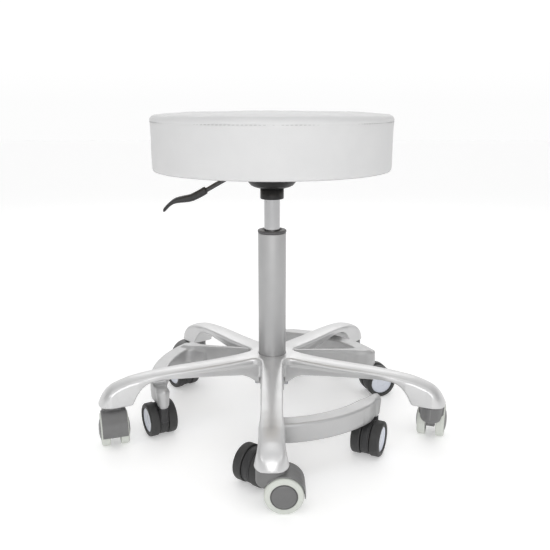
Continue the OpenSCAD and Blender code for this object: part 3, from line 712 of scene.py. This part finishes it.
# ---------------------------------------------------------------- under the seat
def cut_box(made, low, high):
    """Cuts a box out of a piece, from its lowest to its highest corner in mm."""
    corners = [(x, y, z) for x in (low[0], high[0]) for y in (low[1], high[1]) for z in (low[2], high[2])]
    faces = [(0, 1, 3, 2), (4, 6, 7, 5), (0, 4, 5, 1), (2, 3, 7, 6), (0, 2, 6, 4), (1, 5, 7, 3)]
    mesh = bpy.data.meshes.new("cutter")
    mesh.from_pydata((np.array(corners, float) * MM).tolist(), [], faces)
    cutter = bpy.data.objects.new("cutter", mesh)
    bpy.context.scene.collection.objects.link(cutter)
    cut = made.modifiers.new("slot", "BOOLEAN")
    cut.operation, cut.solver, cut.object = "DIFFERENCE", "EXACT", cutter
    bpy.context.view_layer.objects.active = made
    bpy.ops.object.modifier_apply(modifier="slot")
    bpy.data.objects.remove(cutter)
    made.data.set_sharp_from_angle(angle=math.radians(40))


dish_outline = rounded([(17.6, 433), (26, 434, 4), (32, 435.8, 4), (37, 438.3, 3), (41.3, 443.4, 3),
                        (43.5, 447, 3), (46, 455, 4), (47, PLATE_Z - 0.6, 0.5), (47, PLATE_Z),
                        (45, PLATE_Z), (44, 455.5, 4), (41.6, 448.3, 3), (39.5, 445, 3),
                        (35.6, 440.1, 3), (31.3, 437.7, 4), (25.8, 436, 4), (17.6, 435)])
dish = piece("seat_dish_cover", *lathe(dish_outline, 160), "black_plastic", "seat", ["seat_dish"])
cut_box(dish, (-60, -6, 448), (-30, 6, 478))
piece("collar", *lathe(rounded([(17.5, 414.5, 0.4), (20.7, 414.5, 2.6), (20.7, 433), (17.5, 433)], 8), 128),
      "black_plastic", "seat", ["socket_collar"])

LEVER_Z = JOINTS["lever_lift"]["pos_m"][2] / MM
LEVER_R, BEND_X, FALL, BEND_ROUND = 4.0, -65.8, math.radians(29.5), 14.0


def lever_path():
    """The rod's centre line: level, round the bend, then down into the grip."""
    reach = BEND_ROUND * math.tan(FALL / 2)
    path = [(3.0, LEVER_Z)] + [(x, LEVER_Z) for x in (-10.0, -30.0, -50.0)]
    for share in np.linspace(0, 1, 9):
        turn = FALL * share
        path.append((BEND_X + reach - BEND_ROUND * math.sin(turn),
                     LEVER_Z - BEND_ROUND * (1 - math.cos(turn))))
    for length in (20.0, 45.0, 82.0):
        path.append((BEND_X - length * math.cos(FALL), LEVER_Z - length * math.sin(FALL)))
    return np.array(path)


def rod(path, radius, turns=32):
    """A round rod along a path in the XZ plane."""
    ahead = np.gradient(path, axis=0)
    ahead /= np.linalg.norm(ahead, axis=1)[:, None]
    sections = []
    for (x, z), (dx, dz) in zip(path, ahead):
        angle = np.linspace(0, 2 * math.pi, turns, endpoint=False)
        across, side = radius * np.cos(angle), radius * np.sin(angle)
        sections.append(np.stack([x - dz * across, side, z + dx * across], 1))
    return loft(sections)


piece("lever", *rod(lever_path(), LEVER_R), "black_rod", "lever", ["lever_rod"])

grip_top = [(-116.5, 435), (-118.5, 435), (-121.3, 434), (-126.7, 430.7), (-135.6, 426), (-144.5, 422),
            (-156.8, 419.4), (-169.2, 416), (-178.2, 410.2), (-186, 403), (-190.5, 397.5), (-192.8, 393)]
grip_bottom = [(-112.5, 424), (-113.5, 423), (-116, 421.5), (-122, 418), (-130, 414), (-139, 410.2),
               (-150, 408.2), (-162.5, 407.2), (-172, 405.2), (-180, 400), (-186.5, 393.5), (-190.8, 389.4)]
grip_width = [(half,) for half in (5.4, 6.4, 6.6, 7, 7.8, 8.8, 10, 10.8, 11, 10.4, 8.8, 5.6)]
GRIP_SECTIONS, GRIP_SQUARENESS = 60, 0.75


def grip():
    """The paddle, lofted between its top and bottom lines, with rounded ends."""
    top, bottom, width = (spline(table, GRIP_SECTIONS) for table in (grip_top, grip_bottom, grip_width))
    sections = []
    start, end = np.linspace(0, 1, GRIP_SECTIONS) / 0.05, np.linspace(1, 0, GRIP_SECTIONS) / 0.06
    size = 0.12 + 0.88 * np.sqrt(np.clip(start, 0, 1)) * np.sqrt(np.clip(end, 0, 1))
    for i in range(GRIP_SECTIONS):
        angle = np.linspace(0, 2 * math.pi, 48, endpoint=False)
        c, s = np.cos(angle), np.sin(angle)
        up = np.sign(s) * np.abs(s) ** GRIP_SQUARENESS * size[i]
        out = np.sign(c) * np.abs(c) ** GRIP_SQUARENESS * size[i] * width[i, 0]
        middle, half = (top[i] + bottom[i]) / 2, (top[i] - bottom[i]) / 2
        sections.append(np.stack([middle[0] + half[0] * up, out, middle[1] + half[1] * up], 1))
    return loft(sections)


piece("lever_paddle", *grip(), "grip_plastic", "lever", ["lever_grip"])


# ---------------------------------------------------------------- seat
HEM_R, SIDE_EDGE, TURNS = 168.0, 4.0, 360
LOW_INSET, HIGH_INSET, TOP_EDGE_R, TOP_EDGE_DEPTH = 2.2, 0.9, 13.0, 10.0
SEAM_Z = SEAT_TOP - 16.0
crown = smooth_profile([(0, 0), (60, 0), (89, 0.3), (123, 0.7), (165, 2.0), (184, 3.5), (240, 8)], 3)


def seat_outline(inset=0.0):
    """The cushion's skin from the hem under the board, round the side, to the top's middle."""
    outline = [(HEM_R, SEAT_BOTTOM + 1.2), (HEM_R, SEAT_BOTTOM)]
    outline += [(r, SEAT_BOTTOM) for r in np.linspace(HEM_R + 3, SEAT_R - SIDE_EDGE, 14)]
    low_r, high_r = SEAT_R - LOW_INSET - inset, SEAT_R - HIGH_INSET - inset
    for angle in np.radians([20, 45, 70, 90]):
        outline.append((low_r - SIDE_EDGE * (1 - math.sin(angle)),
                        SEAT_BOTTOM + SIDE_EDGE * (1 - math.cos(angle))))
    edge_low = SEAT_TOP - 4.2 - TOP_EDGE_DEPTH
    for share in np.linspace(0, 1, 48)[1:]:
        outline.append((low_r + (high_r - low_r) * share**0.7,
                        SEAT_BOTTOM + SIDE_EDGE + (edge_low - SEAT_BOTTOM - SIDE_EDGE) * share))
    for angle in np.radians(np.linspace(0, 84, 15)[1:]):
        outline.append((high_r - TOP_EDGE_R * (1 - math.cos(angle)),
                        edge_low + TOP_EDGE_DEPTH * math.sin(angle) - inset))
    for r in np.linspace(high_r - TOP_EDGE_R, 0, 60)[1:]:
        outline.append((r, SEAT_TOP - crown(r)[0] - inset))
    return outline


CLOTH_VOXEL, CLOTH_PRESSURE, CLOTH_FRAMES, PUSH_LIMIT = 5, 4.0, 20, 1.5


def inflated(start, pressure, frames):
    """BVH tree of a closed skin after its cloth has filled out under pressure."""
    mesh = bpy.data.meshes.new("seat_blank")
    mesh.from_pydata((start[0] * MM).tolist(), [], start[1])
    blank = bpy.data.objects.new("seat_blank", mesh)
    bpy.context.scene.collection.objects.link(blank)
    bpy.context.view_layer.objects.active = blank
    remesh = blank.modifiers.new("remesh", "REMESH")
    remesh.mode = "VOXEL"
    remesh.voxel_size = CLOTH_VOXEL * MM
    bpy.ops.object.modifier_apply(modifier="remesh")
    held = blank.vertex_groups.new(name="held")
    held.add([v.index for v in blank.data.vertices if v.co.z < (SEAT_BOTTOM + 2) * MM], 1.0, "REPLACE")
    cloth = blank.modifiers.new("cloth", "CLOTH")
    cloth.settings.use_pressure = True
    cloth.settings.uniform_pressure_force = pressure
    cloth.settings.effector_weights.gravity = 0
    cloth.settings.vertex_group_mass = "held"
    cloth.point_cache.frame_start, cloth.point_cache.frame_end = 1, frames
    for frame_number in range(1, frames + 1):
        bpy.context.scene.frame_set(frame_number)
    evaluated = blank.evaluated_get(bpy.context.evaluated_depsgraph_get())
    tree = BVHTree.FromObject(evaluated, bpy.context.evaluated_depsgraph_get())
    bpy.context.scene.frame_set(1)
    bpy.data.objects.remove(blank)
    return tree


def smoothed(field, rows, columns):
    """A field over (row, turn) blurred along both, round the whole turn."""
    def kernel(spread):
        reach = int(3 * spread)
        weights = np.exp(-0.5 * (np.arange(-reach, reach + 1) / spread) ** 2)
        return weights / weights.sum(), reach
    weights, reach = kernel(columns)
    around = sum(w * np.roll(field, k - reach, axis=1) for k, w in enumerate(weights))
    weights, reach = kernel(rows)
    raised = np.pad(around, ((reach, reach), (0, 0)), mode="edge")
    return sum(w * raised[k:k + len(field)] for k, w in enumerate(weights))


def cushion_skin():
    """The seat's skin: its measured profile, filled out as the cloth simulation says, with the
    sewn seam drawn in and the hem gathered under the board."""
    outline = seat_outline()
    points, faces = lathe(outline, TURNS)
    count = len(outline) - 1
    grid = points[:count * TURNS].reshape(count, TURNS, 3)
    r = np.hypot(grid[..., 0], grid[..., 1])
    outward = grid[..., :2] / np.maximum(r, 1e-6)[..., None]
    turn = np.arctan2(grid[..., 1], grid[..., 0])
    height = grid[..., 2]
    side = np.clip((height - SEAT_BOTTOM - 3) / 8, 0, 1) * np.clip((r - SEAT_R + 25) / 15, 0, 1)
    top = np.clip((height - SEAT_TOP + 12) / 6, 0, 1) * np.clip((SEAT_R - r) / 20, 0, 1)
    tree = inflated(lathe(seat_outline(2.0), 120), CLOTH_PRESSURE, CLOTH_FRAMES)
    push = np.zeros((count, TURNS))
    for i in range(2, count):
        for k in range(TURNS):
            x, y, z = grid[i, k]
            place, normal, _, _ = tree.find_nearest(Vector((x, y, z)) * MM)
            push[i, k] = (Vector((x, y, z)) * MM - place).dot(normal) / -MM
    push = np.clip(push - np.median(push, axis=1, keepdims=True), -PUSH_LIMIT, PUSH_LIMIT)
    push = smoothed(push, 2.0, 3.0)
    grid[..., :2] += outward * (push * side * 0.7)[..., None]
    grid[..., 2] += push * top * 0.6
    ease = 0.25 * np.sin(5 * turn + 0.7) + 0.18 * np.sin(11 * turn + 2.1) + 0.12 * np.sin(23 * turn)
    grid[..., :2] += outward * (ease * side)[..., None]
    groove = np.exp(-((height - SEAM_Z) / 1.3) ** 2) * side
    swell = np.exp(-((height - SEAM_Z) / 6.0) ** 2) * side
    pucker = 1 + 0.25 * np.sin(turn * 96)
    grid[..., :2] += outward * (0.2 * swell - 0.7 * groove * pucker)[..., None]
    low = np.clip((SEAT_BOTTOM + 3 - height) / 2, 0, 1)
    inner = np.clip((SEAT_R - 6 - r) / 20, 0, 1)
    gather = np.sin(72 * turn) + 0.5 * np.sin(41 * turn + 1.3)
    grid[..., 2] += low * inner * (0.35 * gather + 0.5)
    points[:count * TURNS] = grid.reshape(-1, 3)
    return points, faces


cushion = piece("seat_cushion", *cushion_skin(), "vinyl", "seat", ["seat_cover", "seat_foam"])


def capsules(places, half_length, radius, turns=8):
    """Short round-ended threads, each given by its middle and its direction."""
    parts = []
    for middle, ahead in places:
        ahead = np.array(ahead, float) / np.linalg.norm(ahead)
        side = np.cross(ahead, (0.3, 0.2, 0.93))
        side /= np.linalg.norm(side)
        up = np.cross(side, ahead)
        angle = np.linspace(0, 2 * math.pi, turns, endpoint=False)
        ring = np.outer(np.cos(angle), side) + np.outer(np.sin(angle), up)
        sections = []
        for share in (-1, -0.85, -0.5, 0, 0.5, 0.85, 1):
            size = radius * math.sqrt(max(1 - abs(share) ** 6, 0.08))
            sections.append(np.array(middle) + ahead * half_length * share + ring * size)
        parts.append(loft(sections))
    return joined(*parts)


BOARD_R = SEAT_R - 6
board_outline = rounded([(0, BOARD_LOW), (BOARD_R, BOARD_LOW, 1), (BOARD_R, BOARD_HIGH, 1), (0, BOARD_HIGH)])
piece("board", *lathe(board_outline, 192), "plywood", "seat", ["seat_board"])

STITCHES, STITCH_R, STITCH_HALF, THREAD_R = 200, SEAT_R - 1.55, 2.1, 0.55
stitches = []
for k in range(STITCHES):
    turn = 2 * math.pi * (k + 0.5) / STITCHES
    stitches.append(((STITCH_R * math.cos(turn), STITCH_R * math.sin(turn), SEAM_Z),
                     (-math.sin(turn), math.cos(turn), 0.03)))
piece("seam_stitches", *capsules(stitches, STITCH_HALF, THREAD_R), "thread", "seat")

STAPLES, STAPLE_R, STAPLE_HALF, STAPLE_WIRE_R, STAPLE_SKEW = 40, HEM_R + 9, 5.0, 0.6, 1.2
staples = []
for k in range(STAPLES):
    turn = 2 * math.pi * (k + 0.5) / STAPLES
    staples.append(((STAPLE_R * math.cos(turn), STAPLE_R * math.sin(turn), SEAT_BOTTOM + 0.2),
                    (math.cos(turn + STAPLE_SKEW), math.sin(turn + STAPLE_SKEW), 0)))
piece("hem_staples", *capsules(staples, STAPLE_HALF, STAPLE_WIRE_R), "zinc_screws", "seat")


# ---------------------------------------------------------------- finishes of the CAD parts
for node, made in frame["nodes"].items():
    slot = next(s["material_slot"] for s in frame["record"]["subparts"] if s["node"] == node)
    made.data.materials.clear()
    made.data.materials.append(LOOKS[slot])


# ---------------------------------------------------------------- floor, light
floor = bpy.data.objects.new("floor", bpy.data.meshes.new("floor"))
floor.data.from_pydata([(-9, -9, 0), (9, -9, 0), (9, 9, 0), (-9, 9, 0)], [], [(0, 1, 2, 3)])
floor.data.materials.append(finish("floor", (0.88, 0.88, 0.88), (0.87, 0.87, 0.87), (0.6, 0.7), (40, 0.02),
                                   Emission_Color=(1, 1, 1, 1), Emission_Strength=0.29))
bpy.context.scene.collection.objects.link(floor)

world = bpy.data.worlds.new("studio")
bpy.context.scene.world = world
world.use_nodes = True
tree = world.node_tree
direction = tree.nodes.new("ShaderNodeTexCoord").outputs["Generated"]
split = tree.nodes.new("ShaderNodeSeparateXYZ")
tree.links.new(direction, split.inputs["Vector"])
height = node_of(tree, "ShaderNodeMapRange", From_Min=0.0, From_Max=0.9, To_Min=0.3, To_Max=0.8)
tree.links.new(split.outputs["Z"], height.inputs["Value"])
behind = node_of(tree, "ShaderNodeMapRange", From_Min=0.45, From_Max=0.85, To_Min=0.0, To_Max=0.68)
tree.links.new(split.outputs["Y"], behind.inputs["Value"])
outward = tree.nodes.new("ShaderNodeMath")
outward.operation = "ABSOLUTE"
tree.links.new(split.outputs["X"], outward.inputs[0])
aside = node_of(tree, "ShaderNodeMapRange", From_Min=0.45, From_Max=1.0, To_Min=0.0, To_Max=-0.24)
tree.links.new(outward.outputs["Value"], aside.inputs["Value"])
band = node_of(tree, "ShaderNodeMapRange", From_Min=0.13, From_Max=0.28, To_Min=0.98, To_Max=0.0)
tree.links.new(split.outputs["Z"], band.inputs["Value"])


def combined(first, second, operation="ADD"):
    """Output of a node that combines two values."""
    node = tree.nodes.new("ShaderNodeMath")
    node.operation = operation
    tree.links.new(first, node.inputs[0])
    tree.links.new(second, node.inputs[1])
    return node.outputs["Value"]


sky = combined(height.outputs["Result"], combined(behind.outputs["Result"], aside.outputs["Result"]))
level = combined(sky, band.outputs["Result"], "MAXIMUM")
tree.links.new(level, tree.nodes["Background"].inputs["Strength"])
tree.nodes["Background"].inputs["Color"].default_value = (1, 1, 1, 1)


def softbox(name, place, aim, size, power):
    """An area light at place that faces aim."""
    light = bpy.data.objects.new(name, bpy.data.lights.new(name, "AREA"))
    light.data.shape = "RECTANGLE"
    light.data.size, light.data.size_y = size
    light.data.energy = power
    light.location = place
    toward = Vector(aim) - light.location
    light.rotation_euler = toward.to_track_quat("-Z", "Y").to_euler()
    bpy.context.scene.collection.objects.link(light)


softbox("overhead", (0, -0.4, 2.4), (0, 0, 0.3), (1.4, 1.4), 4)
softbox("key_left", (-1.3, -1.5, 1.3), (0, 0, 0.15), (0.7, 0.7), 2.6)
softbox("key_right", (1.3, -1.3, 1.3), (0, 0, 0.15), (0.7, 0.7), 1.6)
softbox("front_fill", (0.05, -2.2, 1.05), (0, 0, 0.2), (1.3, 0.9), 12)
softbox("back", (0, 2.2, 1.35), (0, 0, 0.1), (2.4, 0.5), 5)
